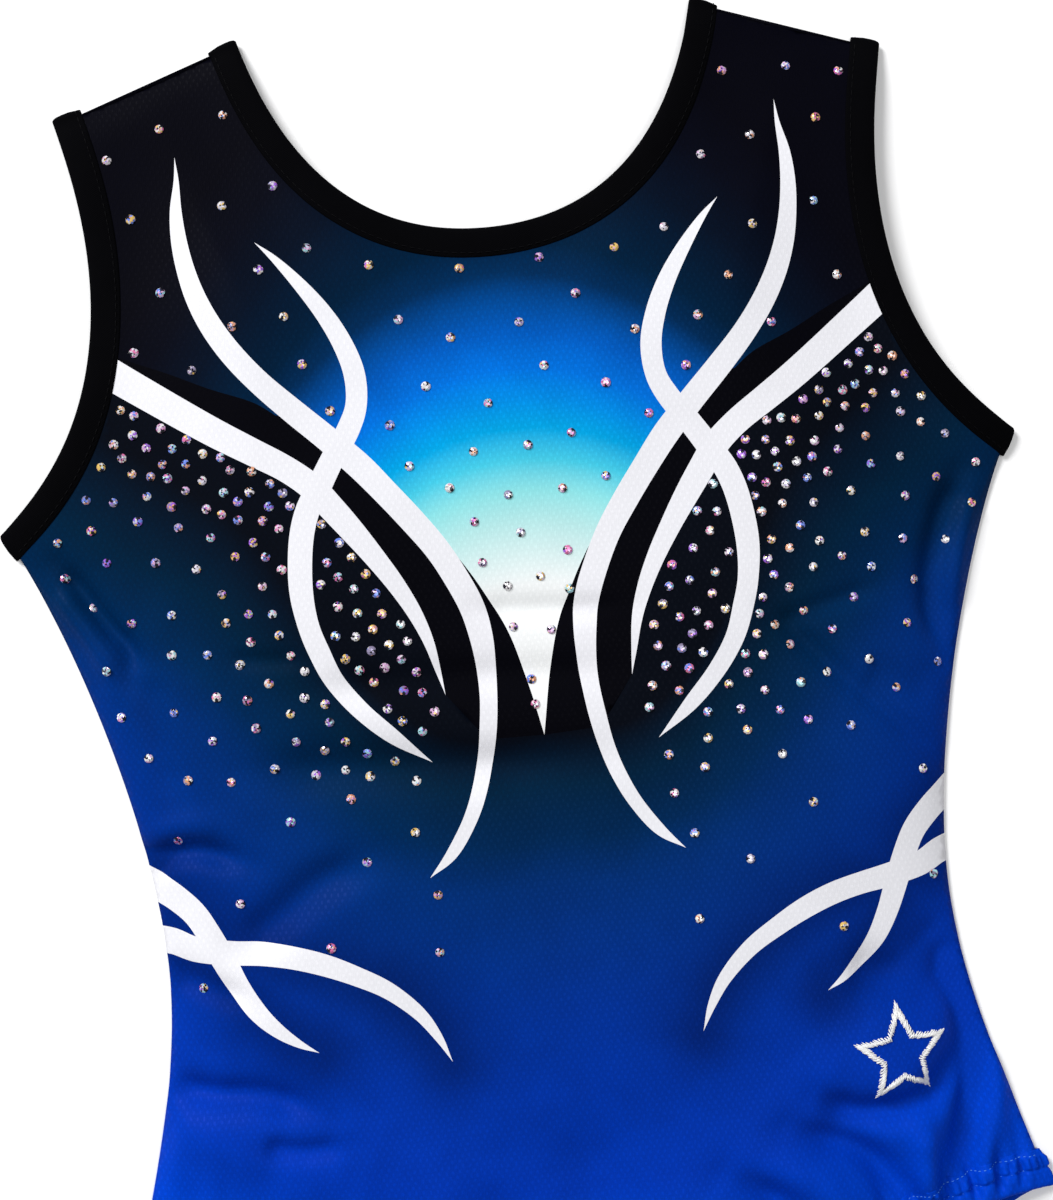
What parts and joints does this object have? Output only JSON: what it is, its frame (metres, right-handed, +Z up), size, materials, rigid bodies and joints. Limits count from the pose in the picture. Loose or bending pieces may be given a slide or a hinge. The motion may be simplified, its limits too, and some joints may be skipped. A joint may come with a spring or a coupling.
{
  "type": "gymnastics leotard",
  "caption": "Sleeveless gymnastics leotard in a child's size, laid flat: scooped neck, bound armholes, elastic legs and a printed front with rhinestones.",
  "frame": {"origin": "on the surface it lies on, under the middle of the garment's box", "axes": "+X to the wearer's left, +Y to the shoulders, +Z up out of the front"},
  "size_m": [0.3444, 0.5746, 0.0215],
  "materials": {
    "print_fabric": "satin",
    "binding_fabric": "matte",
    "elastic": "matte",
    "black_thread": "matte",
    "blue_thread": "satin",
    "overlock_thread": "matte",
    "lining": "matte",
    "label": "satin",
    "embroidery": "satin",
    "backing": "matte",
    "crystal": "faceted, iridescent"
  },
  "bodies": {
    "root": {"front_panel": "print_fabric", "back_panel": "print_fabric", "neck_binding": "binding_fabric", "neck_elastic": "elastic", "neck_inner_stitching": "black_thread", "left_armhole_binding": "binding_fabric", "left_armhole_elastic": "elastic", "left_armhole_inner_stitching": "black_thread", "left_leg_casing": "print_fabric", "left_leg_elastic": "elastic", "left_leg_upper_stitching": "blue_thread", "left_leg_lower_stitching": "blue_thread", "left_side_seam": "overlock_thread", "left_shoulder_seam": "overlock_thread", "right_armhole_binding": "binding_fabric", "right_armhole_elastic": "elastic", "right_armhole_inner_stitching": "black_thread", "right_leg_casing": "print_fabric", "right_leg_elastic": "elastic", "right_leg_upper_stitching": "blue_thread", "right_leg_lower_stitching": "blue_thread", "right_side_seam": "overlock_thread", "right_shoulder_seam": "overlock_thread", "crotch_seam": "overlock_thread", "crotch_lining": "lining", "care_label": "label", "star_embroidery": "embroidery", "star_backing": "backing"}
  },
  "joints": []
}
